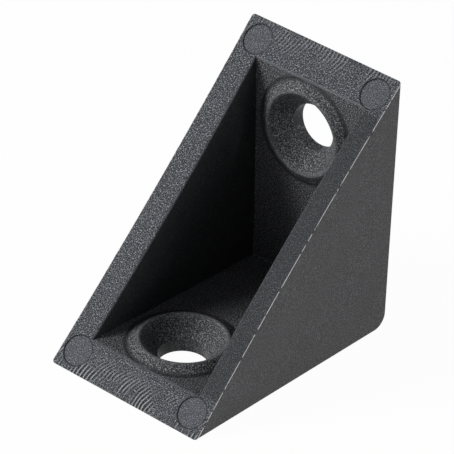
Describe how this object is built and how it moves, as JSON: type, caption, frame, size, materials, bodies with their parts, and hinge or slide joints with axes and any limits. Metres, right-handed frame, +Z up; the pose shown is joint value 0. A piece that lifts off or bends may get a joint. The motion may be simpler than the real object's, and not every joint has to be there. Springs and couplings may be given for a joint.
{
  "type": "t slot corner bracket",
  "caption": "Moulded inside corner bracket: two equal legs at a right angle, gusset walls on both sides, and a flared screw hole in each leg.",
  "frame": {"origin": "middle of the base leg's outer face, in the middle of the width", "axes": "+X across the width, +Y from the toe of the base leg to the heel, +Z up the back leg"},
  "size_m": [0.0244, 0.036, 0.036],
  "materials": {
    "bracket": "black glass filled nylon, fine spark eroded grain, satin"
  },
  "bodies": {
    "root": {"bracket": "bracket"}
  },
  "joints": []
}
